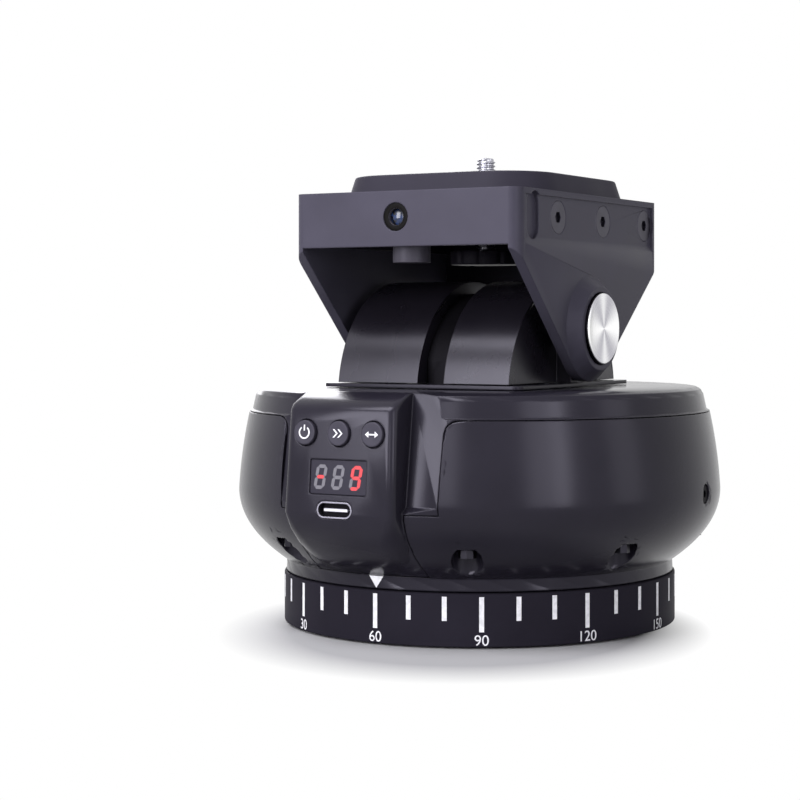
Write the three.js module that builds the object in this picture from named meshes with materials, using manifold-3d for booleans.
// A motorized pan and tilt head for a small camera.
// A round base with a degree scale stands on a tripod. The body turns on it about a
// vertical axis, and a wide bracket that carries the camera tilts on the body.
// Millimetres, +Z up, the control panel faces -Y. The origin is on the pan axis, level
// with the underside of the rubber foot.

import * as THREE from 'three';
import { mergeVertices } from 'three/addons/utils/BufferGeometryUtils.js';
import Module from 'manifold-3d';

const wasm = await Module();
wasm.setup();

// General clearances
const gap = 0.3;
const runningGap = 0.15;
const overrun = 2;

// Scale base
const ringRadius = 65;
const ringBottom = 0.4;
const ringTop = 16.6;
const ringWall = 3.5;
const ringChamfer = 0.5;
const footThickness = 2;
const footInnerRadius = 30;
const footMargin = 3.2;
const basePlateThickness = 3;

// Tripod socket
const socketRadius = 4.76;
const bushingRadius = 8;
const bushingLength = 12;

// Pan spindle and its bearing
const spindleRadius = 14;
const spindleBore = 4;
const spindleFlangeRadius = 28;
const spindleFlangeThickness = 3;
const threadRadius = 11;
const nutThickness = 5;
const nutRadius = 15;
const raceWall = 2.9;
const cageWall = 1.6;
const bearingHeight = 7;
const bearingLift = 0.4;
const collarWall = 3.2;

// Pan gears
const panModule = 1.5;
const panGearTeeth = 48;
const pinionTeeth = 12;
const panGearThickness = 5;
const pinionShaftRadius = 2.5;
const pinionBearing = 207;
const gearBacklash = 0.4;
const pressureAngle = 22;
const addendumShare = 0.8;
const dedendumShare = 1.2;

// Screws through the base plate
const baseScrewCount = 3;
const baseScrewCircle = 22;
const baseScrewHeadRadius = 3;
const baseScrewHeadHeight = 1.8;
const baseScrewShankRadius = 1.5;

// Body shell, a bowl that narrows to the scale ring and to the lid
const wall = 2.2;
const neckInset = 0.7;
const neckRadius = ringRadius - neckInset;
const neckGap = 0.5;
const neckHeight = 4.2;
const neckTop = ringTop + neckHeight;
const lidHeight = 77.2;
const bellyDrop = 33.2;
const bellyHeight = lidHeight - bellyDrop;
const flareReach = 15.7;
const bellyRadius = neckRadius + flareReach;
const flareControlShare = 0.46;
const shoulderDraft = 3.5;
const shoulderRadius = bellyRadius - shoulderDraft;
const shoulderControlShare = 0.2;
const seamDrop = 7.7;
const seamHeight = lidHeight - seamDrop;
const lidStep = 1;
const lidDraft = 1.1;
const lidEdgeRadius = 2.2;
const floorThickness = 2.4;

// Front panel that stands out of the bowl
const frontCentre = -2.5;
const noseBottomHalfWidth = 19.7;
const noseTaper = 0.8;
const noseTopHalfWidth = noseBottomHalfWidth - noseTaper;
const noseProud = 2.6;
const noseBottomFront = bellyRadius + noseProud;
const noseLean = 2.2;
const noseTopFront = noseBottomFront - noseLean;
const browDrop = 4.1;
const noseTopHeight = lidHeight - browDrop;
const noseHeight = 32.1;
const noseBottomHeight = noseTopHeight - noseHeight;
const noseCornerRadius = 2.2;
const chinCornerRadius = 12;
const chinLift = 0.6;
const chinBottom = neckTop + chinLift;
const chinProud = 0.9;
const chinFront = neckRadius + chinProud;
const browSetback = 8.4;
const browRound = 1.1;
const noseRootDepth = 10.2;
const noseRear = chinFront - noseRootDepth;

// Flats pressed into the bowl beside the panel
const scoopTopSetback = 11;
const scoopTopDepth = bellyRadius - scoopTopSetback;
const scoopBottomSetback = 5.1;
const scoopBottomDepth = bellyRadius - scoopBottomSetback;
const scoopLift = 2.5;
const scoopBottomHeight = noseBottomHeight + scoopLift;
const scoopRamp = 4.5;
const scoopHalfWidth = 35;

// Seam between the cover and the bowl
const seamGap = 0.3;
const seamMargin = 8.2;
const seamHalfWidth = noseBottomHalfWidth + seamMargin;
const seamCornerRadius = 5;
const tongueMargin = 0.4;
const tongueHalfWidth = noseBottomHalfWidth + tongueMargin;
const seamLift = 0.5;
const seamBottomHeight = noseBottomHeight + seamLift;

// Screw pockets under the flare
const postRadius = 2.8;
const postClearance = 0.5;
const pocketCircle = shoulderRadius - wall - postRadius - postClearance;
const pocketRadius = 4.9;
const pocketWall = 1.6;
const pocketMargin = 2.28;
const tongueFarSide = tongueHalfWidth - frontCentre;
const pocketAside = tongueFarSide + seamGap + pocketMargin + pocketWall + pocketRadius;
const frontPocketBearing = THREE.MathUtils.radToDeg(Math.asin(pocketAside / pocketCircle));
const sidePocketBearing = 67;
const pocketBearings = [
  frontPocketBearing,
  sidePocketBearing,
  180 - sidePocketBearing,
  180 - frontPocketBearing,
];
const pocketHeight = 10.2;
const pocketCeiling = neckTop + pocketHeight;
const pocketRoof = 2.4;
const shellScrewHeadRadius = 2.7;
const shellScrewHeadHeight = 2.6;
const shellScrewShankRadius = 1.4;
const shellScrewReach = 12;
const pocketTop = pocketCeiling + pocketRoof;
const postStartShare = 0.245;
const postBottom = THREE.MathUtils.lerp(pocketTop, bellyHeight, postStartShare);

// Panel controls, placed from the middle of the panel
const buttonHoleRadius = 4.1;
const buttonRadius = 3.75;
const buttonDrop = 7.9;
const buttonHeight = noseTopHeight - buttonDrop;
const buttonProud = 0.5;
const buttonFlangeRadius = 4.45;
const buttonSideGap = 0.25;
const buttonSpacing = noseTopHalfWidth - wall - buttonSideGap - buttonFlangeRadius;
const buttonFlangeClearance = 1.1;
const buttonFlangeDepth = wall + buttonFlangeClearance;
const buttonFlangeThickness = 1;
const buttonStemRadius = 1.5;
const buttonTravel = 0.8;
const windowWidth = 20.2;
const windowHeight = 10.6;
const windowCorner = 0.6;
const windowDrop = 13.1;
const windowLevel = buttonHeight - windowDrop;
const windowThickness = 1.4;
const moduleDepth = 5;
const usbWidth = 12.8;
const usbHeight = 5.3;
const usbRim = 0.5;
const usbCornerMargin = 0.05;
const usbTongueWidth = 8;
const usbTongueHeight = 1;
const usbDepth = 7;
const usbShift = -0.9;
const usbDrop = 9.8;
const usbLevel = windowLevel - usbDrop;
const boardThickness = 1.6;
const boardHalfWidth = 16;
const boardMargin = 4.5;
const boardTop = buttonHeight + boardMargin;
const boardHeight = 31.5;
const boardBottom = boardTop - boardHeight;
const boardSetback = 13;
const boardTabHalfWidth = 9;
const boardTabDrop = 14;
const boardTabTop = boardTop - boardTabDrop;
const switchSize = 5;
const switchHeight = 2;

// Round jack in the side of the bowl
const jackBearing = 94;
const jackHoleRadius = 3.2;
const jackRadius = 2.9;
const jackBore = 1.25;
const jackDepth = 9;
const jackInset = 0.9;

// Inner chassis
const chassisInset = 4.3;
const chassisRadius = neckRadius - chassisInset;
const chassisLevel = pocketCeiling;
const chassisThickness = 2;
const chassisLegCircle = 50;
const chassisLegRadius = 3;
const chassisHoleRadius = 17;
const panMotorRadius = 12;
const panMotorHeight = 28;
const batteryRadius = 9.2;
const batteryExcess = 5;
const batteryLength = chassisRadius + batteryExcess;
const batteryInset = 20;
const batteryBack = chassisRadius - batteryInset;
const batteryFloor = 0.6;

// Leading sizes of the camera bracket, whose ears stand beside the arch
const yokeHalfWidth = 41.2;
const earThickness = 3.5;
const earClearance = 0.8;

// Arch over the tilt gears
const pedestalReach = 5.3;
const archHalfWidth = yokeHalfWidth - earThickness - earClearance - pedestalReach;
const archGapLeft = -1.6;
const archGapRight = 8.1;
const tiltRise = 19.2;
const tiltHeight = lidHeight + tiltRise;
const wormModule = 1;
const wormWheelTeeth = 22;
const wheelTip = wormModule * (wormWheelTeeth / 2 + addendumShare);
const arcSink = 3.2;
const arcCentreHeight = lidHeight - arcSink;
const arcClearance = 1.6;
const arcRadius = tiltHeight - arcCentreHeight + wheelTip + arcClearance + wall;
const coreInset = 4;
const coreRadius = arcRadius - coreInset;
const archPlateThickness = 1.2;
const archPlateMargin = 4.9;
const archPlateHalfWidth = archHalfWidth + archPlateMargin;
const archPlateHalfDepth = 40;
const archPlateCorner = 3;
const openingMargin = 2.4;
const openingHalfWidth = archHalfWidth - openingMargin;
const openingHalfDepth = 32;
const coreFlangeMargin = 2.4;
const coreFlangeHalfWidth = archHalfWidth + coreFlangeMargin;
const coreFlangeHalfDepth = 37;
const coreFlangeThickness = 3;
const pedestalHalfWidth = 5.3;
const pedestalHubRadius = 7.6;

// Tilt shaft and its worm drive
const shaftRadius = 3;
const bushingWall = 1.2;
const wormWheelThickness = 5;
const wormPitchRadius = 4;
const wormThreadDepth = 0.95;
const wormLength = 14;
const wormBacklash = 0.6;
const wormStepsPerTurn = 6;
const tiltMotorHeight = 24;
const motorClearance = 1.05;
const tiltMotorRadius = (archHalfWidth - archGapRight) / 2 - wall - motorClearance;
const motorOffset = 0.7;
const wormWheelOffset = archGapRight + wall + tiltMotorRadius + motorOffset;
const wormShaftRadius = 1.6;
const wormShaftLength = 14;
const wormMotorGap = 1.2;

// Camera bracket
const yokeFront = 49.3;
const yokeTail = 4;
const yokeRear = yokeFront + yokeTail;
const yokeMiddle = yokeTail / 2;
const yokeHalfLength = yokeFront + yokeMiddle;
const yokeTop = 43.4;
const yokeCorner = 4;
const yokePlate = 2.5;
const apronThickness = 3;
const apronHeight = 17.5;
const apronBottom = yokeTop - apronHeight;
const frontShoulderDrop = 18.6;
const frontShoulder = yokeTop - frontShoulderDrop;
const rearShoulderDrop = 21.6;
const rearShoulder = yokeTop - rearShoulderDrop;
const earEndRadius = 17.1;
const bandDrop = 1.9;
const bandTop = yokeTop - bandDrop;
const bandHeight = 15.2;
const bandBottom = bandTop - bandHeight;
const bandChamfer = 2;
const bandDepth = 1;
const bandMargin = 4.8;
const bossTopRadius = 13.5;
const bossHeight = 3.9;
const capRadius = 11.5;
const capDepth = 2.3;
const capThickness = 3.2;
const capChamfer = 0.5;
const sidePocketRadius = 3.9;
const sidePocketInset = 11.2;
const sidePocketCentre = sidePocketInset - yokeFront;
const sidePocketLift = 1.4;
const sidePocketLow = bandBottom + sidePocketLift;
const sidePocketHeight = 15;
const sidePocketHigh = sidePocketLow + sidePocketHeight;
const sidePocketDepth = 1.2;
const sideScrewInset = 9.5;
const sideScrewSpacing = 32.3;
const sideScrewRear = yokeRear - sideScrewInset;
const sideScrewPlaces = [2, 1, 0].map((step) => sideScrewRear - step * sideScrewSpacing);
const sideScrewDrop = 8.2;
const sideScrewLevel = yokeTop - sideScrewDrop;
const sideScrewHeadRadius = 5.3;
const sideScrewShankRadius = 2;
const sideScrewLength = 5.4;
const sideScrewHeadDepth = 2.1;
const hexSocketRadius = 1.9;
const hexSocketDepth = 1.4;
const lensHoleRadius = 4.4;
const lensLevel = sideScrewLevel;
const lensBore = 2.7;
const lensThickness = 1.2;
const lensHousingRadius = 6;
const lensHousingInset = 9.8;
const lensHousingCentre = lensHousingInset - yokeFront;
const lensHousingDrop = 22.4;
const lensHousingBottom = yokeTop - lensHousingDrop;
const frameThickness = 3;
const frameHeight = 16.9;
const frameBottom = yokeTop - frameHeight;
const frameCorner = 1;
const skirtInset = 8.8;
const skirtBack = yokeRear - skirtInset;
const skirtRise = 6;
const skirtDrop = 12;

// Camera platform and its screw
const platformSideMargin = 3.2;
const platformHalfWidth = yokeHalfWidth - platformSideMargin;
const platformFrontMargin = 13.9;
const platformFront = yokeFront - platformFrontMargin;
const platformRearMargin = 7.9;
const platformRear = yokeRear - platformRearMargin;
const platformCorner = 20;
const platformThickness = 6.2;
const platformDraft = 2;
const cameraScrewRadius = 3.175;
const cameraScrewPlace = 4.3;
const cameraScrewReach = 13.8;
const cameraScrewTip = yokeTop + cameraScrewReach;
const thumbWheelRadius = 12;
const thumbWheelDrop = 22.1;
const thumbWheelBottom = yokeTop - thumbWheelDrop;
const thumbWheelThickness = 4.6;
const thumbWheelScallops = 10;
const scallopRadius = 1.6;

// Numbers of facets
const bodySides = 36;
const turnedSides = 20;
const smallSides = 12;
const screwSides = 8;
const arcSegments = 10;
const earSegments = 8;
const flareSteps = 4;
const innerFlareSteps = 2;
const pocketSides = 12;
const curveHalvings = 24;

const headAssembly = new THREE.Group();

// Every piece is added under its own name with its own colour and finish.
function part(name, body, colour, roughness, metalness) {
  const data = body.getMesh();
  const geometry = new THREE.BufferGeometry();
  geometry.setAttribute('position', new THREE.BufferAttribute(Float32Array.from(data.vertProperties), 3));
  geometry.setIndex(new THREE.BufferAttribute(Uint32Array.from(data.triVerts), 1));
  geometry.computeVertexNormals();
  const material = new THREE.MeshStandardMaterial({ color: colour, roughness, metalness });
  const mesh = new THREE.Mesh(geometry, material);
  mesh.name = name;
  headAssembly.add(mesh);
}

// A closed three.js geometry becomes a solid that can be joined and cut.
function solid(geometry) {
  geometry.deleteAttribute('normal');
  geometry.deleteAttribute('uv');
  const merged = mergeVertices(geometry);
  const corners = merged.index.array;
  const kept = [];
  for (let i = 0; i < corners.length; i += 3) {
    const [a, b, c] = [corners[i], corners[i + 1], corners[i + 2]];
    if (a !== b && b !== c && c !== a) kept.push(a, b, c);
  }
  return new wasm.Manifold(new wasm.Mesh({
    numProp: 3,
    vertProperties: merged.attributes.position.array,
    triVerts: Uint32Array.from(kept),
  }));
}

function cut(body, ...tools) {
  return tools.reduce((left, tool) => left.subtract(tool), body);
}

function join(body, ...others) {
  return others.reduce((sum, other) => sum.add(other), body);
}

// A profile of radius and height pairs, outer side running upwards, turned about Z.
function turned(profile, sides) {
  const points = profile.map(([radius, height]) => new THREE.Vector2(radius, height));
  return solid(new THREE.LatheGeometry(points, sides).rotateX(Math.PI / 2));
}

function rod(radius, low, high, sides) {
  return turned([[0, low], [radius, low], [radius, high], [0, high]], sides);
}

function tube(inner, outer, low, high, sides) {
  return turned([[inner, low], [outer, low], [outer, high], [inner, high], [inner, low]], sides);
}

function block(x0, x1, y0, y1, z0, z1) {
  const box = new THREE.BoxGeometry(x1 - x0, y1 - y0, z1 - z0);
  return solid(box.translate((x0 + x1) / 2, (y0 + y1) / 2, (z0 + z1) / 2));
}

// A flat outline extruded along Z.
function slab(shape, low, high, curveSegments = 6) {
  const options = { depth: high - low, bevelEnabled: false, curveSegments };
  return solid(new THREE.ExtrudeGeometry(shape, options).translate(0, 0, low));
}

// The outline's first axis lies along Y and its second along Z; it is extruded along X.
function slabAlongX(shape, low, high, curveSegments = 6) {
  const options = { depth: high - low, bevelEnabled: false, curveSegments };
  const geometry = new THREE.ExtrudeGeometry(shape, options);
  geometry.rotateX(Math.PI / 2).rotateZ(Math.PI / 2);
  return solid(geometry.translate(low, 0, 0));
}

// The outline's first axis lies along X and its second along Z; it is extruded along Y.
function slabAlongY(shape, low, high, curveSegments = 6) {
  const options = { depth: high - low, bevelEnabled: false, curveSegments };
  const geometry = new THREE.ExtrudeGeometry(shape, options).rotateX(Math.PI / 2);
  return solid(geometry.translate(0, high, 0));
}

function polygon(points) {
  return new THREE.Shape(points.map(([u, v]) => new THREE.Vector2(u, v)));
}

// A polygon whose corners are eased by the radius given with each point.
function easedPolygon(points) {
  const shape = new THREE.Shape();
  points.forEach(([u, v, ease = 0], i) => {
    const corner = new THREE.Vector2(u, v);
    const [pu, pv] = points[(i + points.length - 1) % points.length];
    const [nu, nv] = points[(i + 1) % points.length];
    const before = new THREE.Vector2(pu, pv).sub(corner).setLength(ease).add(corner);
    const after = new THREE.Vector2(nu, nv).sub(corner).setLength(ease).add(corner);
    if (i === 0) shape.moveTo(before.x, before.y);
    else shape.lineTo(before.x, before.y);
    if (ease > 0) shape.quadraticCurveTo(corner.x, corner.y, after.x, after.y);
  });
  shape.closePath();
  return shape;
}

function roundedRectangle(halfWidth, halfLength, corner, centreU = 0, centreV = 0) {
  const shape = new THREE.Shape();
  const right = centreU + halfWidth - corner;
  const left = centreU - halfWidth + corner;
  const far = centreV + halfLength - corner;
  const near = centreV - halfLength + corner;
  shape.absarc(right, far, corner, 0, Math.PI / 2);
  shape.absarc(left, far, corner, Math.PI / 2, Math.PI);
  shape.absarc(left, near, corner, Math.PI, Math.PI * 3 / 2);
  shape.absarc(right, near, corner, Math.PI * 3 / 2, Math.PI * 2);
  shape.closePath();
  return shape;
}

// Closed skin over rings of equally many points, each ring counter-clockwise from above.
function loft(rings) {
  const count = rings[0].length;
  const positions = rings.flat(2);
  const faces = [];
  for (let k = 0; k < rings.length - 1; k += 1) {
    for (let i = 0; i < count; i += 1) {
      const next = (i + 1) % count;
      const low = k * count;
      const high = low + count;
      faces.push(low + i, low + next, high + next, low + i, high + next, high + i);
    }
  }
  const lid = (rings.length - 1) * count;
  for (let i = 1; i < count - 1; i += 1) faces.push(0, i + 1, i, lid, lid + i, lid + i + 1);
  const geometry = new THREE.BufferGeometry();
  geometry.setAttribute('position', new THREE.Float32BufferAttribute(positions, 3));
  geometry.setIndex(faces);
  return solid(geometry);
}

// A Z-axis piece laid along X, with its height counted from the pan axis outwards.
function alongX(body) {
  return body.rotate([0, 90, 0]);
}

function aroundPan(body, bearing) {
  return body.rotate([0, 0, bearing]);
}

// Gear teeth with straight flanks about the Z axis.
function gearOutline(teeth, module, backlash) {
  const pitch = teeth * module / 2;
  const tip = pitch + addendumShare * module;
  const root = pitch - dedendumShare * module;
  const pitchHalf = (Math.PI * module / 2 - backlash) / 2;
  const lean = Math.tan(THREE.MathUtils.degToRad(pressureAngle));
  const tipAngle = (pitchHalf - (tip - pitch) * lean) / tip;
  const rootAngle = (pitchHalf + (pitch - root) * lean) / root;
  const points = [];
  for (let i = 0; i < teeth; i += 1) {
    const middle = i * 2 * Math.PI / teeth;
    [[root, -rootAngle], [tip, -tipAngle], [tip, tipAngle], [root, rootAngle]].forEach(([radius, offset]) => {
      points.push([radius * Math.cos(middle + offset), radius * Math.sin(middle + offset)]);
    });
  }
  return polygon(points);
}

function hexagonRod(radius, low, high) {
  return rod(radius, low, high, 6);
}

// Scale base

const plateBottom = footThickness + gap;
const plateTop = plateBottom + basePlateThickness;
const ringInner = ringRadius - ringWall;

function makeScaleRing() {
  const profile = [
    [ringInner, ringBottom],
    [ringRadius, ringBottom],
    [ringRadius, ringTop - ringChamfer],
    [ringRadius - ringChamfer, ringTop],
    [ringInner, ringTop],
    [ringInner, ringBottom],
  ];
  part('scale_ring', turned(profile, bodySides), 0x3a3840, 0.55, 0.1);
}

const baseScrewBearings = Array.from({ length: baseScrewCount }, (_, i) => i * 360 / baseScrewCount);

function makeBasePlate() {
  const bore = bushingRadius + runningGap;
  let plate = tube(bore, ringInner - gap, plateBottom, plateTop, bodySides);
  baseScrewBearings.forEach((bearing) => {
    const recessTop = plateBottom + baseScrewHeadHeight;
    const recess = rod(baseScrewHeadRadius + gap, plateBottom - overrun, recessTop, screwSides);
    const hole = rod(baseScrewShankRadius + gap, plateBottom, plateTop + overrun, screwSides);
    plate = cut(plate, aroundPan(join(recess, hole).translate([baseScrewCircle, 0, 0]), bearing));
  });
  part('base_plate', plate, 0x2b2a30, 0.5, 0.6);
  const foot = tube(footInnerRadius, ringInner - footMargin, 0, footThickness, bodySides);
  part('foot_pad', foot, 0x161518, 0.9, 0);
}

const flangeBottom = plateTop + gap;
const flangeTop = flangeBottom + spindleFlangeThickness;
const floorBottom = ringTop + neckGap;
const floorTop = floorBottom + floorThickness;
const panGearBottom = floorTop + 2 * gap;
const panGearTop = panGearBottom + panGearThickness;
const nutBottom = panGearTop + gap;
const nutTop = nutBottom + nutThickness;
const bushingTop = plateBottom + bushingLength;

function makeSpindle() {
  const outer = [
    [0, flangeBottom],
    [spindleFlangeRadius, flangeBottom],
    [spindleFlangeRadius, flangeTop],
    [spindleRadius, flangeTop],
    [spindleRadius, panGearTop],
    [threadRadius, panGearTop],
    [threadRadius, nutTop],
    [0, nutTop],
  ];
  let spindle = turned(outer, turnedSides);
  spindle = cut(
    spindle,
    rod(bushingRadius + runningGap, flangeBottom - overrun, bushingTop + gap, turnedSides),
    rod(spindleBore, flangeBottom, nutTop + overrun, smallSides),
  );
  baseScrewBearings.forEach((bearing) => {
    const threadBore = baseScrewShankRadius + runningGap;
    const thread = rod(threadBore, flangeBottom - overrun, flangeTop + overrun, screwSides);
    spindle = cut(spindle, aroundPan(thread.translate([baseScrewCircle, 0, 0]), bearing));
  });
  part('pan_spindle', spindle, 0xa5a6aa, 0.35, 0.9);
  const bushing = tube(socketRadius, bushingRadius, plateBottom, bushingTop, turnedSides);
  part('tripod_bushing', bushing, 0xb89a5a, 0.35, 0.9);
  baseScrewBearings.forEach((bearing, i) => {
    const head = rod(baseScrewHeadRadius, plateBottom, plateBottom + baseScrewHeadHeight - gap, screwSides);
    const shank = rod(baseScrewShankRadius, plateBottom, flangeTop, screwSides);
    const screw = join(head, shank).translate([baseScrewCircle, 0, 0]);
    part(`base_screw_${i + 1}`, aroundPan(screw, bearing), 0x2a2a2e, 0.4, 0.9);
  });
}

const innerRaceRadius = spindleRadius + gap;
const cageInner = innerRaceRadius + raceWall + gap;
const outerRaceInner = cageInner + cageWall + gap;
const outerRaceRadius = outerRaceInner + raceWall;
const bearingBottom = flangeTop + bearingLift;
const bearingTop = bearingBottom + bearingHeight;
const collarInner = outerRaceRadius + gap;

function makeBearing() {
  const inner = tube(innerRaceRadius, innerRaceRadius + raceWall, bearingBottom, bearingTop, turnedSides);
  part('pan_bearing_inner', inner, 0xb9babd, 0.25, 1);
  const outer = tube(outerRaceInner, outerRaceRadius, bearingBottom, bearingTop, turnedSides);
  part('pan_bearing_outer', outer, 0xb9babd, 0.25, 1);
  const cage = tube(cageInner, cageInner + cageWall, bearingBottom + gap, bearingTop - gap, turnedSides);
  part('pan_ball_cage', cage, 0x8a7a50, 0.4, 0.6);
}

const panGearPitch = panGearTeeth * panModule / 2;
const pinionPitch = pinionTeeth * panModule / 2;
const pinionCircle = panGearPitch + pinionPitch;
const pinionShaftTop = chassisLevel + chassisThickness + pinionPitch;

function makePanGears() {
  const gear = slab(gearOutline(panGearTeeth, panModule, gearBacklash), panGearBottom, panGearTop);
  const bore = rod(spindleRadius + runningGap, panGearBottom - overrun, panGearTop + overrun, turnedSides);
  part('pan_gear', cut(gear, bore), 0xc9b27a, 0.4, 0.6);
  const toothAngle = 360 / panGearTeeth;
  const meshing = Math.round(pinionBearing / toothAngle) * toothAngle;
  const pinion = slab(gearOutline(pinionTeeth, panModule, gearBacklash), panGearBottom, panGearTop);
  const shaft = rod(pinionShaftRadius, panGearTop, pinionShaftTop, screwSides);
  const placed = join(pinion.rotate([0, 0, 180 / pinionTeeth]), shaft).translate([pinionCircle, 0, 0]);
  part('pan_pinion', aroundPan(placed, meshing), 0xb9babd, 0.3, 1);
  return meshing;
}

function makeSpindleNut() {
  const bore = rod(threadRadius + runningGap, floorTop, nutTop + overrun, turnedSides);
  part('spindle_nut', cut(hexagonRod(nutRadius, nutBottom, nutTop), bore), 0xa5a6aa, 0.35, 0.9);
}

makeScaleRing();
makeBasePlate();
makeSpindle();
makeBearing();
const pinionPlace = makePanGears();
makeSpindleNut();

// Body shell

const lidShoulder = shoulderRadius - lidStep;
const lidEdge = lidShoulder - lidDraft;

// The bowl's outer form, with its radii drawn in and its ends shortened by the inset.
function bowlForm(inset) {
  const steps = inset > 0 ? innerFlareSteps : flareSteps;
  const flare = new THREE.QuadraticBezierCurve(
    new THREE.Vector2(neckRadius, neckTop),
    new THREE.Vector2(bellyRadius, neckTop + flareControlShare * (bellyHeight - neckTop)),
    new THREE.Vector2(bellyRadius, bellyHeight),
  );
  const side = new THREE.QuadraticBezierCurve(
    new THREE.Vector2(bellyRadius, bellyHeight),
    new THREE.Vector2(
      bellyRadius - shoulderControlShare * (bellyRadius - shoulderRadius),
      (bellyHeight + seamHeight) / 2,
    ),
    new THREE.Vector2(shoulderRadius, seamHeight),
  );
  const top = lidHeight - inset;
  const profile = [
    [0, floorBottom + inset],
    [neckRadius - inset, floorBottom + inset],
    ...flare.getPoints(steps).map((point) => [point.x - inset, point.y]),
    ...side.getPoints(2).slice(1).map((point) => [point.x - inset, point.y]),
    [lidShoulder - inset, seamHeight + lidStep / 2],
    [lidEdge - inset, top - lidEdgeRadius],
    [lidEdge - inset - lidEdgeRadius / 3, top - lidEdgeRadius / 3],
    [lidEdge - inset - lidEdgeRadius, top],
    [0, top],
  ];
  return turned(profile, bodySides);
}

// The flats beside the panel lean back like the bowl's wall and run out on a ramp.
function scoopTool(inset) {
  const low = new THREE.Vector2(inset - scoopBottomDepth, scoopBottomHeight);
  const high = new THREE.Vector2(inset - scoopTopDepth, lidHeight + overrun);
  const far = -bellyRadius - scoopHalfWidth;
  const outline = [
    [low.x, low.y],
    [low.x - scoopRamp - wall, low.y - scoopRamp],
    [far, low.y - scoopRamp],
    [far, high.y],
    [high.x, high.y],
  ];
  return slabAlongX(polygon(outline.reverse()), -scoopHalfWidth, scoopHalfWidth);
}

// The point of a falling curve at a height, found by halving.
function pointAtHeight(curve, height) {
  let low = 0;
  let high = 1;
  for (let i = 0; i < curveHalvings; i += 1) {
    const middle = (low + high) / 2;
    if (curve.getPoint(middle).y > height) low = middle;
    else high = middle;
  }
  return curve.getPoint(high);
}

// Width, front and corner ease of the panel at a height.
function noseSection(height) {
  const rise = (height - noseBottomHeight) / (noseTopHeight - noseBottomHeight);
  if (rise >= 0) {
    const brow = Math.max(0, height - noseTopHeight) / (lidHeight - noseTopHeight);
    return {
      half: THREE.MathUtils.lerp(noseBottomHalfWidth, noseTopHalfWidth, rise),
      front: THREE.MathUtils.lerp(noseBottomFront, noseTopFront, Math.min(rise, 1)) - brow * browSetback,
      corner: noseCornerRadius,
    };
  }
  const drop = (noseBottomHeight - height) / (noseBottomHeight - chinBottom);
  const curve = new THREE.QuadraticBezierCurve(
    new THREE.Vector2(noseBottomFront, noseBottomHeight),
    new THREE.Vector2(noseBottomFront, chinBottom + flareControlShare * (noseBottomHeight - chinBottom)),
    new THREE.Vector2(chinFront, chinBottom),
  );
  const spot = pointAtHeight(curve, height);
  return {
    half: noseBottomHalfWidth,
    front: spot.x,
    corner: THREE.MathUtils.lerp(noseCornerRadius, chinCornerRadius, drop),
  };
}

function noseForm(inset) {
  const chinSteps = 4;
  const heights = [];
  for (let i = 0; i < chinSteps; i += 1) {
    heights.push(THREE.MathUtils.lerp(chinBottom, noseBottomHeight, i / chinSteps));
  }
  heights.push(noseBottomHeight, noseTopHeight - browRound, noseTopHeight + browRound / 2, lidHeight);
  const rings = heights.map((height, k) => {
    const { half, front, corner } = noseSection(height);
    const level = k === heights.length - 1 ? height - inset : height;
    const lowered = k === 0 ? level + inset : level;
    const left = frontCentre - half + inset;
    const right = frontCentre + half - inset;
    const reach = front - inset;
    const ring = [[right, -noseRear, lowered], [left, -noseRear, lowered]];
    const arcSteps = 3;
    for (let i = 0; i <= arcSteps; i += 1) {
      const angle = Math.PI + i / arcSteps * Math.PI / 2;
      ring.push([
        left + corner + corner * Math.cos(angle),
        -reach + corner + corner * Math.sin(angle),
        lowered,
      ]);
    }
    for (let i = 0; i <= arcSteps; i += 1) {
      const angle = Math.PI * 3 / 2 + i / arcSteps * Math.PI / 2;
      ring.push([
        right - corner + corner * Math.cos(angle),
        -reach + corner + corner * Math.sin(angle),
        lowered,
      ]);
    }
    return ring;
  });
  return loft(rings);
}

function bodyForm(inset) {
  return join(cut(bowlForm(inset), scoopTool(inset)), noseForm(inset));
}

// Everything that belongs to the cover: the lid, the panel, its flats and its chin.
function coverZone(grow) {
  const far = bellyRadius + overrun * 2;
  const lid = block(-far, far, -far, far, seamHeight - grow, lidHeight + overrun);
  const half = seamHalfWidth + grow;
  const tongueLeft = frontCentre - tongueHalfWidth - grow;
  const tongueRight = frontCentre + tongueHalfWidth + grow;
  const low = seamBottomHeight - grow;
  const seam = seamHeight - grow;
  const shape = new THREE.Shape();
  shape.moveTo(half + seamCornerRadius, lidHeight);
  shape.lineTo(-half - seamCornerRadius, lidHeight);
  shape.lineTo(-half - seamCornerRadius, seam);
  shape.quadraticCurveTo(-half, seam, -half, seam - seamCornerRadius);
  shape.lineTo(-half, low);
  shape.lineTo(tongueLeft, low);
  shape.lineTo(tongueLeft, chinBottom - grow);
  shape.lineTo(tongueRight, chinBottom - grow);
  shape.lineTo(tongueRight, low);
  shape.lineTo(half, low);
  shape.lineTo(half, seam - seamCornerRadius);
  shape.quadraticCurveTo(half, seam, half + seamCornerRadius, seam);
  shape.closePath();
  return join(lid, slabAlongY(shape, -far, -noseRear));
}

const pocketSpots = pocketBearings.flatMap((bearing) => [bearing, -bearing]).map((bearing) => bearing - 90);

function atPocket(body, bearing) {
  return aroundPan(body.translate([pocketCircle, 0, 0]), bearing);
}

// Frame of the leaning panel: X across, Z up the panel and -Y out of it.
const panelLean = Math.atan2(noseBottomFront - noseTopFront, noseTopHeight - noseBottomHeight);

function ontoPanel(body, across, height) {
  const { front } = noseSection(height);
  const leaning = body.rotate([-THREE.MathUtils.radToDeg(panelLean), 0, 0]);
  return leaning.translate([frontCentre + across, -front, height]);
}

function panelHole(shape) {
  return slabAlongY(shape, -overrun, wall + overrun, 4);
}

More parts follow.
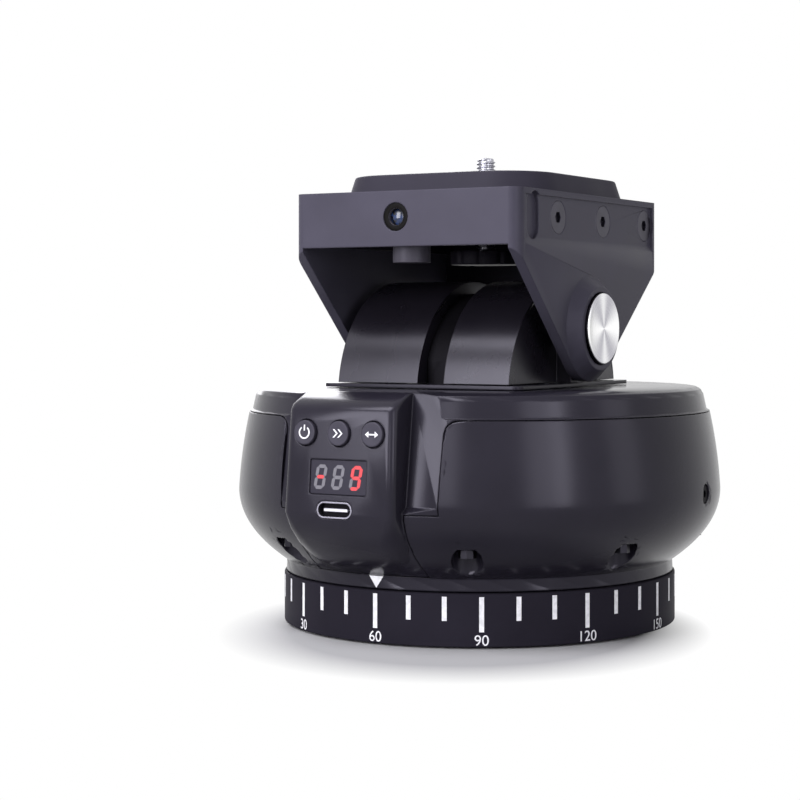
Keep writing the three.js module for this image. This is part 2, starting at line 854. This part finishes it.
const buttonPlaces = [-buttonSpacing, 0, buttonSpacing];
const usbCorner = usbHeight / 2 - usbCornerMargin;

function makeTopCover(shell) {
  let cover = shell.intersect(coverZone(0));
  pocketSpots.forEach((bearing) => {
    const post = rod(postRadius, postBottom, lidHeight - wall / 2, screwSides);
    const bore = shellScrewShankRadius + runningGap;
    const hole = rod(bore, postBottom - overrun, pocketTop + shellScrewReach, screwSides);
    cover = join(cover, atPocket(post, bearing));
    cover = cut(cover, atPocket(hole, bearing));
  });
  const opening = roundedRectangle(openingHalfWidth, openingHalfDepth, archPlateCorner);
  cover = cut(cover, slab(opening, lidHeight - wall - overrun, lidHeight + overrun, 3));
  buttonPlaces.forEach((across) => {
    const hole = rod(buttonHoleRadius, -overrun, wall + overrun, turnedSides).rotate([-90, 0, 0]);
    cover = cut(cover, ontoPanel(hole, across, buttonHeight));
  });
  const window = roundedRectangle(windowWidth / 2, windowHeight / 2, windowCorner);
  const usb = roundedRectangle(usbWidth / 2, usbHeight / 2, usbCorner);
  cover = cut(cover, ontoPanel(panelHole(window), 0, windowLevel));
  cover = cut(cover, ontoPanel(panelHole(usb), usbShift, usbLevel));
  part('top_cover', cover, 0x55535d, 0.28, 0.1);
}

function makeLowerShell(shell, outer) {
  let bowl = cut(shell, coverZone(seamGap));
  pocketSpots.forEach((bearing) => {
    const boss = rod(pocketRadius + pocketWall, floorTop - wall / 2, pocketTop, pocketSides);
    const clipped = atPocket(boss, bearing).intersect(outer);
    const pocket = rod(pocketRadius, ringBottom, pocketCeiling, pocketSides);
    const bore = shellScrewShankRadius + runningGap;
    const hole = rod(bore, pocketCeiling - overrun, pocketTop + overrun, screwSides);
    bowl = join(bowl, clipped);
    bowl = cut(bowl, atPocket(pocket, bearing), atPocket(hole, bearing));
  });
  const collar = tube(collarInner, collarInner + collarWall, bearingBottom, floorTop, turnedSides);
  bowl = cut(join(bowl, collar), rod(collarInner, bearingBottom - overrun, floorTop + overrun, turnedSides));
  const jackHole = alongX(rod(jackHoleRadius, bellyRadius - jackDepth, bellyRadius + overrun, smallSides));
  bowl = cut(bowl, aroundPan(jackHole.translate([0, 0, bellyHeight]), jackBearing - 90));
  part('lower_shell', bowl, 0x4c4a54, 0.42, 0.1);
}

function makeShellScrews() {
  pocketSpots.forEach((bearing, i) => {
    const under = pocketCeiling - gap;
    const head = rod(shellScrewHeadRadius, under - shellScrewHeadHeight, under, screwSides);
    const shank = rod(shellScrewShankRadius, under, pocketCeiling + shellScrewReach, screwSides);
    part(`shell_screw_${i + 1}`, atPocket(join(head, shank), bearing), 0x2e2d33, 0.35, 0.9);
  });
}

// Panel controls

function makeButtons() {
  ['button_power', 'button_speed', 'button_swing'].forEach((name, i) => {
    const switchFace = noseTopFront - boardSetback + switchHeight;
    const stemEnd = noseSection(buttonHeight).front - switchFace - buttonTravel - gap;
    const profile = [
      [0, -buttonProud - gap],
      [buttonRadius - gap, -buttonProud - gap],
      [buttonRadius, -buttonProud],
      [buttonRadius, buttonFlangeDepth],
      [buttonFlangeRadius, buttonFlangeDepth],
      [buttonFlangeRadius, buttonFlangeDepth + buttonFlangeThickness],
      [buttonStemRadius, buttonFlangeDepth + buttonFlangeThickness],
      [buttonStemRadius, stemEnd],
      [0, stemEnd],
    ];
    const cap = turned(profile, smallSides).rotate([-90, 0, 0]);
    part(name, ontoPanel(cap, buttonPlaces[i], buttonHeight), 0x625f6b, 0.4, 0.1);
  });
}

function makeDisplay() {
  const half = windowWidth / 2;
  const rise = windowHeight / 2;
  const face = roundedRectangle(half - runningGap, rise - runningGap, windowCorner);
  const plate = slabAlongY(face, gap, gap + windowThickness, 3);
  part('display_window', ontoPanel(plate, 0, windowLevel), 0x2d2b33, 0.15, 0);
  const back = wall + gap;
  const module = block(-half, half, back, back + moduleDepth, -rise, rise);
  part('display_module', ontoPanel(module, 0, windowLevel), 0x1d1c22, 0.5, 0);
}

function makeUsbSocket() {
  const drawnIn = (inset) => roundedRectangle(usbWidth / 2 - inset, usbHeight / 2 - inset, usbCorner - inset);
  const can = slabAlongY(drawnIn(runningGap), 0, usbDepth, 4);
  const slot = slabAlongY(drawnIn(runningGap + usbRim), -overrun, usbDepth - usbTongueHeight, 4);
  const half = usbTongueWidth / 2;
  const rise = usbTongueHeight / 2;
  const tongue = block(-half, half, usbTongueHeight, usbDepth, -rise, rise);
  part('usb_socket', ontoPanel(join(cut(can, slot), tongue), usbShift, usbLevel), 0xb8b8bd, 0.3, 0.9);
}

function makeBoard() {
  const front = -noseTopFront + boardSetback;
  const left = frontCentre - boardHalfWidth;
  const right = frontCentre + boardHalfWidth;
  let board = block(left, right, front, front + boardThickness, boardBottom, boardTop);
  const half = switchSize / 2;
  buttonPlaces.forEach((across) => {
    const body = block(
      frontCentre + across - half,
      frontCentre + across + half,
      front - switchHeight,
      front + boardThickness / 2,
      buttonHeight - half,
      buttonHeight + half,
    );
    board = join(board, body);
  });
  part('control_board', board, 0x1f4a33, 0.6, 0);
}

function makeJack() {
  const outerEnd = bellyRadius - jackInset;
  const body = rod(jackRadius, bellyRadius - wall - jackDepth, outerEnd, smallSides);
  const bore = rod(jackBore, bellyRadius - wall - jackDepth / 2, outerEnd + overrun, screwSides);
  const jack = alongX(cut(body, bore)).translate([0, 0, bellyHeight]);
  part('shutter_jack', aroundPan(jack, jackBearing - 90), 0x1b1a1f, 0.4, 0.2);
}

// Inner chassis, drives and battery

const chassisTop = chassisLevel + chassisThickness;
const wormCentre = wormModule * wormWheelTeeth / 2 + wormPitchRadius;

function makeChassis() {
  let chassis = tube(chassisHoleRadius, chassisRadius, chassisLevel, chassisTop, turnedSides);
  [45, 135, 225, 315].forEach((bearing) => {
    const leg = rod(chassisLegRadius, floorTop + gap, chassisTop, screwSides);
    chassis = join(chassis, aroundPan(leg.translate([chassisLegCircle, 0, 0]), bearing));
  });
  const shaftHole = rod(pinionShaftRadius * 2, chassisLevel - overrun, chassisTop + overrun, smallSides);
  chassis = cut(chassis, aroundPan(shaftHole.translate([pinionCircle, 0, 0]), pinionPlace));
  const tabFace = boardSetback + boardThickness + gap - noseTopFront;
  const left = frontCentre - boardTabHalfWidth;
  const right = frontCentre + boardTabHalfWidth;
  const tabFoot = block(left, right, tabFace, -chassisLegCircle, chassisLevel, chassisTop);
  const tab = block(left, right, tabFace, tabFace + chassisThickness, chassisLevel, boardTabTop);
  chassis = join(chassis, tabFoot, tab);
  part('chassis_plate', chassis, 0x6c6d72, 0.5, 0.8);
  const low = chassisTop + gap;
  const body = rod(panMotorRadius, low, low + panMotorHeight, turnedSides);
  const bore = rod(pinionShaftRadius + gap, low - overrun, pinionShaftTop + gap, smallSides);
  const motor = cut(body, bore).translate([pinionCircle, 0, 0]);
  part('pan_motor', aroundPan(motor, pinionPlace), 0x9a9a9e, 0.35, 0.9);
}

function makeBattery() {
  const level = chassisTop + batteryFloor + batteryRadius;
  const spacing = batteryRadius * 2 - gap;
  const cells = [0, spacing].map((back) => {
    const cell = alongX(rod(batteryRadius, -batteryLength / 2, batteryLength / 2, smallSides));
    return cell.translate([0, batteryBack - batteryRadius + back, level]);
  });
  part('battery_pack', join(cells[0], cells[1]), 0x2f5d8a, 0.5, 0.1);
}

// Arch over the tilt gears

const archPlateBottom = lidHeight + gap;
const archPlateTop = archPlateBottom + archPlateThickness;
const archBottom = archPlateTop + gap;
const bushingRadiusOuter = shaftRadius + runningGap + bushingWall;
const pedestalFace = archHalfWidth + pedestalReach;

// Half disc standing on its chord, in the plane across X.
function arcSlab(radius, bottom, low, high) {
  const reach = bottom - arcCentreHeight;
  const start = Math.asin(reach / radius);
  const shape = new THREE.Shape();
  shape.absarc(0, arcCentreHeight, radius, start, Math.PI - start);
  shape.closePath();
  return slabAlongX(shape, low, high, arcSegments);
}

function makeArchPlate() {
  const outline = roundedRectangle(archPlateHalfWidth, archPlateHalfDepth, archPlateCorner);
  const opening = roundedRectangle(openingHalfWidth, openingHalfDepth, archPlateCorner);
  const plate = slab(outline, archPlateBottom, archPlateTop, 3);
  const hole = slab(opening, archPlateBottom - overrun, archPlateTop + overrun, 3);
  part('arch_plate', cut(plate, hole), 0x2a2930, 0.35, 0.1);
}

function makeArch(name, inner, side) {
  const outer = side * archHalfWidth;
  const low = Math.min(inner, outer);
  const high = Math.max(inner, outer);
  const shell = arcSlab(arcRadius, archBottom, low, high);
  const hollow = arcSlab(arcRadius - wall, archBottom - overrun, low + wall, high - wall);
  const reachLow = Math.min(outer - side * wall / 2, side * pedestalFace);
  const reachHigh = Math.max(outer - side * wall / 2, side * pedestalFace);
  const hub = alongX(rod(pedestalHubRadius, reachLow, reachHigh, smallSides)).translate([0, 0, tiltHeight]);
  const post = block(reachLow, reachHigh, -pedestalHalfWidth, pedestalHalfWidth, archBottom, tiltHeight);
  const boreInner = side * (archHalfWidth - wall - overrun);
  const boreOuter = side * (pedestalFace + overrun);
  const boreLow = Math.min(boreInner, boreOuter);
  const boreHigh = Math.max(boreInner, boreOuter);
  const bore = alongX(rod(bushingRadiusOuter + runningGap, boreLow, boreHigh, smallSides));
  const passageReach = wall + overrun;
  const passage = rod(pedestalHalfWidth, inner - passageReach, inner + passageReach, smallSides);
  const bores = join(bore, alongX(passage)).translate([0, 0, tiltHeight]);
  part(name, cut(join(cut(shell, hollow), hub, post), bores), 0x6a6872, 0.3, 0.1);
}

function makeTiltFrame() {
  const flangeHigh = lidHeight - wall - gap;
  const flangeLow = flangeHigh - coreFlangeThickness;
  const left = archGapLeft + gap;
  const right = archGapRight - gap;
  const depth = openingHalfDepth - gap;
  const web = arcSlab(coreRadius, arcCentreHeight, left, right);
  const stem = block(left, right, -depth, depth, flangeLow, tiltHeight - earEndRadius);
  const outline = roundedRectangle(coreFlangeHalfWidth, coreFlangeHalfDepth, archPlateCorner);
  const flange = slab(outline, flangeLow, flangeHigh, 3);
  const clipped = web.intersect(block(archGapLeft, archGapRight, -depth, depth, flangeLow, lidHeight * 2));
  const motorHole = rod(tiltMotorRadius + gap, flangeLow - overrun, tiltHeight, turnedSides);
  const shaftHole = alongX(rod(pedestalHalfWidth, archGapLeft - overrun, archGapRight + overrun, smallSides));
  const frame = cut(
    join(clipped, stem, flange),
    motorHole.translate([wormWheelOffset, wormCentre, 0]),
    shaftHole.translate([0, 0, tiltHeight]),
  );
  part('tilt_frame', frame, 0x1c1b21, 0.6, 0.3);
}

function makeTiltBushings() {
  [['tilt_bushing_right', 1], ['tilt_bushing_left', -1]].forEach(([name, side]) => {
    const near = archHalfWidth - wall;
    const sleeve = tube(shaftRadius + runningGap, bushingRadiusOuter, near, pedestalFace - gap, smallSides);
    const placed = alongX(sleeve).translate([0, 0, tiltHeight]);
    part(name, side > 0 ? placed : placed.mirror([1, 0, 0]), 0xb59a5c, 0.35, 0.9);
  });
}

// Teeth of the wheel slant by the lead of the worm.
function makeWormWheel() {
  const half = wormWheelThickness / 2;
  const leadShare = wormModule / (2 * wormPitchRadius);
  const outline = gearOutline(wormWheelTeeth, wormModule, wormBacklash);
  const options = { depth: wormWheelThickness, bevelEnabled: false, curveSegments: 6 };
  const geometry = new THREE.ExtrudeGeometry(outline, options).translate(0, 0, -half);
  const place = geometry.attributes.position;
  const pitch = wormModule * wormWheelTeeth / 2;
  for (let i = 0; i < place.count; i += 1) {
    const turn = place.getZ(i) * leadShare / pitch;
    const x = place.getX(i);
    const y = place.getY(i);
    place.setXY(i, x * Math.cos(turn) - y * Math.sin(turn), x * Math.sin(turn) + y * Math.cos(turn));
  }
  const quarter = 360 / wormWheelTeeth * (wormWheelTeeth / 4 - Math.floor(wormWheelTeeth / 4));
  const bore = rod(shaftRadius + runningGap, -wormWheelThickness, wormWheelThickness, smallSides);
  const wheel = alongX(cut(solid(geometry).rotate([0, 0, quarter]), bore));
  part('worm_wheel', wheel.translate([wormWheelOffset, 0, tiltHeight]), 0xc9b27a, 0.4, 0.5);
}

// The thread is one start, its crest half a pitch away from the wheel's tooth.
function makeWorm() {
  const pitch = Math.PI * wormModule;
  const turns = Math.round(wormLength / pitch);
  const rows = turns * wormStepsPerTurn;
  const length = turns * pitch;
  const geometry = new THREE.CylinderGeometry(wormPitchRadius, wormPitchRadius, length, screwSides, rows);
  geometry.rotateX(Math.PI / 2);
  const place = geometry.attributes.position;
  for (let i = 0; i < place.count; i += 1) {
    const x = place.getX(i);
    const y = place.getY(i);
    const z = place.getZ(i);
    const around = Math.hypot(x, y);
    const angle = Math.atan2(y, x);
    const facing = -Math.PI / 2;
    const crest = Math.cos(angle - facing - z / wormModule * 2 + Math.PI);
    const grown = around > 0 ? (around + wormThreadDepth * crest * around / wormPitchRadius) / around : 1;
    place.setXY(i, x * grown, y * grown);
  }
  const worm = solid(geometry);
  const shaft = rod(wormShaftRadius, -length / 2 - wormShaftLength, length / 2, screwSides);
  part('tilt_worm', join(worm, shaft).translate([wormWheelOffset, wormCentre, tiltHeight]), 0xb9babd, 0.3, 1);
  const motorTop = tiltHeight - wormCentre + wormPitchRadius - wormMotorGap;
  const body = rod(tiltMotorRadius, motorTop - tiltMotorHeight, motorTop, turnedSides);
  const boreBottom = motorTop - wormShaftLength - gap;
  const bore = rod(wormShaftRadius + runningGap, boreBottom, motorTop + overrun, screwSides);
  part('tilt_motor', cut(body, bore).translate([wormWheelOffset, wormCentre, 0]), 0x9a9a9e, 0.35, 0.9);
}

const outerForm = bodyForm(0);
const bodyShell = outerForm.subtract(bodyForm(wall));
makeTopCover(bodyShell);
makeLowerShell(bodyShell, outerForm);
makeShellScrews();
makeButtons();
makeDisplay();
makeUsbSocket();
makeBoard();
makeJack();
makeChassis();
makeBattery();
makeArchPlate();
makeArch('arch_left', archGapLeft, -1);
makeArch('arch_right', archGapRight, 1);
makeTiltFrame();
makeTiltBushings();
makeWormWheel();
makeWorm();

// Camera bracket, with heights counted from the tilt axis

// Side view of an ear: shoulders that slope down to a round end about the axis.
function earOutline() {
  const touch = (reach, shoulder) => {
    const bearing = Math.atan2(shoulder, reach);
    return bearing - Math.acos(earEndRadius / Math.hypot(reach, shoulder));
  };
  const start = Math.PI - touch(yokeFront, frontShoulder);
  const shape = new THREE.Shape();
  shape.moveTo(yokeRear, yokeTop);
  shape.lineTo(-yokeFront, yokeTop);
  shape.lineTo(-yokeFront, frontShoulder);
  shape.absarc(0, 0, earEndRadius, start, Math.PI * 2 + touch(yokeRear, rearShoulder));
  shape.lineTo(yokeRear, rearShoulder);
  shape.closePath();
  return shape;
}

function bothSides(body) {
  return join(body, body.mirror([1, 0, 0]));
}

function crossHole(radius, across, height, depthLow, depthHigh, sides) {
  return alongX(rod(radius, depthLow, depthHigh, sides)).translate([0, across, height]);
}

const bandFace = yokeHalfWidth - bandDepth;
const earInner = yokeHalfWidth - earThickness;
const platformBottom = yokeTop + gap;

function tiltPart(name, body, colour, roughness, metalness) {
  part(name, body.translate([0, 0, tiltHeight]), colour, roughness, metalness);
}

function makeBracket() {
  const plan = roundedRectangle(yokeHalfWidth, yokeHalfLength, yokeCorner, 0, yokeMiddle);
  const outer = slab(plan, -earEndRadius, yokeTop, 4);
  const ears = slabAlongX(earOutline(), -yokeHalfWidth, yokeHalfWidth, earSegments);
  const low = -earEndRadius - overrun;
  const innerLength = yokeHalfLength - apronThickness;
  const room = roundedRectangle(earInner, innerLength, frameCorner, 0, yokeMiddle);
  const cavity = slab(room, low, yokeTop - yokePlate, 2);
  const between = block(-earInner, earInner, -yokeFront - overrun, yokeRear + overrun, low, apronBottom);
  const band = easedPolygon([
    [bandFace, bandTop],
    [bandFace, bandBottom + bandChamfer],
    [yokeHalfWidth, bandBottom],
    [yokeHalfWidth + overrun, bandBottom],
    [yokeHalfWidth + overrun, bandTop],
  ]);
  const recess = slabAlongY(band, bandMargin - yokeFront, yokeRear - bandMargin);
  let bracket = cut(outer.intersect(ears), cavity, between, bothSides(recess));
  const bossFace = yokeHalfWidth + bossHeight;
  const boss = turned([
    [0, yokeHalfWidth - gap],
    [earEndRadius, yokeHalfWidth - gap],
    [earEndRadius, yokeHalfWidth],
    [bossTopRadius, bossFace],
    [0, bossFace],
  ], turnedSides);
  const capSeat = rod(capRadius + gap, bossFace - capDepth, bossFace + overrun, turnedSides);
  bracket = cut(join(bracket, bothSides(alongX(boss))), bothSides(alongX(capSeat)));
  const shaftBore = shaftRadius + runningGap;
  bracket = cut(bracket, crossHole(shaftBore, 0, 0, -bossFace, bossFace, smallSides));
  const slot = new THREE.Shape();
  slot.absarc(sidePocketCentre, sidePocketLow + sidePocketRadius, sidePocketRadius, Math.PI, Math.PI * 2);
  slot.absarc(sidePocketCentre, sidePocketHigh - sidePocketRadius, sidePocketRadius, 0, Math.PI);
  slot.closePath();
  bracket = cut(bracket, bothSides(slabAlongX(slot, bandFace - sidePocketDepth, yokeHalfWidth + overrun, 5)));
  sideScrewPlaces.forEach((across) => {
    const sink = turned([
      [0, earInner - overrun],
      [sideScrewShankRadius + runningGap, earInner - overrun],
      [sideScrewShankRadius + runningGap, bandFace - sideScrewHeadDepth - runningGap],
      [sideScrewHeadRadius + runningGap, bandFace],
      [sideScrewHeadRadius + runningGap, bandFace + overrun],
      [0, bandFace + overrun],
    ], smallSides);
    bracket = cut(bracket, bothSides(alongX(sink).translate([0, across, sideScrewLevel])));
  });
  const apronBack = apronThickness - yokeFront + overrun;
  const lensHole = rod(lensHoleRadius + runningGap, -yokeFront - overrun, apronBack, turnedSides);
  bracket = cut(bracket, lensHole.rotate([-90, 0, 0]).translate([frontCentre, 0, lensLevel]));
  const roofBottom = yokeTop - yokePlate;
  const screwHole = rod(cameraScrewRadius + gap, roofBottom - overrun, yokeTop + overrun, smallSides);
  bracket = cut(bracket, screwHole.translate([0, cameraScrewPlace, 0]));
  tiltPart('camera_bracket', bracket, 0x5a5863, 0.42, 0.1);
}

// Frame under the bracket's plate that the side screws bite into. Its skirt hangs down at the rear.
function makeInnerFrame() {
  const half = earInner - gap;
  const length = yokeHalfLength - apronThickness - gap;
  const top = yokeTop - yokePlate - gap;
  const outer = slab(roundedRectangle(half, length, frameCorner, 0, yokeMiddle), frameBottom, top, 2);
  const innerHalf = half - frameThickness;
  const room = roundedRectangle(innerHalf, length - frameThickness, frameCorner, 0, yokeMiddle);
  const inner = slab(room, frameBottom - overrun, top - frameThickness, 2);
  const skirtFace = skirtBack - frameThickness;
  const skirtTop = frameBottom + skirtRise;
  const skirt = block(-half, half, skirtFace, skirtBack, frameBottom - skirtDrop, skirtTop);
  let frame = join(cut(outer, inner), skirt);
  sideScrewPlaces.forEach((across) => {
    const bore = sideScrewShankRadius + runningGap;
    frame = cut(frame, crossHole(bore, across, sideScrewLevel, -earInner, earInner, smallSides));
  });
  const wheelRoom = rod(cameraScrewRadius + gap, frameBottom, top + overrun, smallSides);
  const housingRoom = rod(lensHousingRadius + gap, frameBottom - overrun, top + overrun, smallSides);
  const roomHalf = lensHousingRadius + gap;
  const left = frontCentre - roomHalf;
  const right = frontCentre + roomHalf;
  frame = cut(
    frame,
    wheelRoom.translate([0, cameraScrewPlace, 0]),
    housingRoom.translate([frontCentre, lensHousingCentre, 0]),
    block(left, right, -yokeFront, lensHousingCentre, frameBottom - overrun, top + overrun),
  );
  tiltPart('inner_frame', frame, 0x3a3940, 0.5, 0.4);
}

function makeSideScrews() {
  let count = 0;
  [1, -1].forEach((side) => {
    sideScrewPlaces.forEach((across) => {
      count += 1;
      const body = turned([
        [0, bandFace - sideScrewLength],
        [sideScrewShankRadius, bandFace - sideScrewLength],
        [sideScrewShankRadius, bandFace - sideScrewHeadDepth],
        [sideScrewHeadRadius, bandFace],
        [0, bandFace],
      ], smallSides);
      const screw = cut(body, hexagonRod(hexSocketRadius, bandFace - hexSocketDepth, bandFace + overrun));
      const laid = alongX(screw).translate([0, across, sideScrewLevel]);
      tiltPart(`side_screw_${count}`, side > 0 ? laid : laid.mirror([1, 0, 0]), 0x4a4952, 0.3, 0.8);
    });
  });
}

function makeLens() {
  const front = -yokeFront;
  const onAxis = (body) => body.rotate([-90, 0, 0]).translate([frontCentre, 0, lensLevel]);
  const housingTop = yokeTop - yokePlate - gap;
  const post = rod(lensHousingRadius, lensHousingBottom, housingTop, turnedSides);
  const placed = post.translate([frontCentre, lensHousingCentre, 0]);
  const barrel = onAxis(rod(lensHoleRadius, front + gap, lensHousingCentre, turnedSides));
  const boreEnd = front + apronThickness + lensThickness;
  const bore = onAxis(rod(lensBore, front - overrun, boreEnd, smallSides));
  tiltPart('lens_housing', cut(join(placed, barrel), bore), 0x2c2b26, 0.45, 0.2);
  const disc = rod(lensBore - runningGap, front + lensThickness, boreEnd - gap, smallSides);
  tiltPart('lens_glass', onAxis(disc), 0x10243c, 0.08, 0);
}

function makeTiltCaps() {
  const low = yokeHalfWidth + bossHeight - capDepth + gap;
  const high = low + capThickness;
  const profile = [
    [0, low],
    [capRadius, low],
    [capRadius, high - capChamfer],
    [capRadius - capChamfer, high],
    [0, high],
  ];
  const cap = alongX(turned(profile, turnedSides));
  tiltPart('tilt_cap_right', cap, 0xd8d8dc, 0.2, 1);
  tiltPart('tilt_cap_left', cap.mirror([1, 0, 0]), 0xd8d8dc, 0.2, 1);
  const end = low - gap;
  tiltPart('tilt_shaft', alongX(rod(shaftRadius, -end, end, smallSides)), 0xa9aaad, 0.25, 1);
}

// The platform's sides lean in towards its top.
function makePlatform() {
  const halfLength = (platformFront + platformRear) / 2;
  const middle = (platformRear - platformFront) / 2;
  const outline = roundedRectangle(platformHalfWidth, halfLength, platformCorner);
  const options = { depth: platformThickness, bevelEnabled: false, curveSegments: 6 };
  const geometry = new THREE.ExtrudeGeometry(outline, options);
  const place = geometry.attributes.position;
  for (let i = 0; i < place.count; i += 1) {
    const rise = place.getZ(i) / platformThickness;
    const x = place.getX(i) * (1 - rise * platformDraft / platformHalfWidth);
    const y = place.getY(i) * (1 - rise * platformDraft / halfLength);
    place.setXY(i, x, y);
  }
  const body = solid(geometry).translate([0, middle, platformBottom]);
  const platformTop = platformBottom + platformThickness;
  const hole = rod(cameraScrewRadius + gap, yokeTop, platformTop + overrun, smallSides);
  tiltPart('camera_platform', cut(body, hole.translate([0, cameraScrewPlace, 0])), 0x2b2a31, 0.7, 0);
}

function makeCameraScrew() {
  const wheelTop = thumbWheelBottom + thumbWheelThickness;
  const profile = [
    [0, thumbWheelBottom],
    [thumbWheelRadius, thumbWheelBottom],
    [thumbWheelRadius, wheelTop],
    [cameraScrewRadius, wheelTop],
    [cameraScrewRadius, cameraScrewTip - capChamfer],
    [cameraScrewRadius - capChamfer, cameraScrewTip],
    [0, cameraScrewTip],
  ];
  let screw = turned(profile, turnedSides);
  for (let i = 0; i < thumbWheelScallops; i += 1) {
    const scallop = rod(scallopRadius, thumbWheelBottom - overrun, wheelTop + overrun, screwSides);
    const bearing = i * 360 / thumbWheelScallops;
    screw = cut(screw, aroundPan(scallop.translate([thumbWheelRadius + scallopRadius / 2, 0, 0]), bearing));
  }
  tiltPart('camera_screw', screw.translate([0, cameraScrewPlace, 0]), 0xb5b5b9, 0.3, 1);
}

makeBracket();
makeInnerFrame();
makeSideScrews();
makeLens();
makeTiltCaps();
makePlatform();
makeCameraScrew();

export default headAssembly;
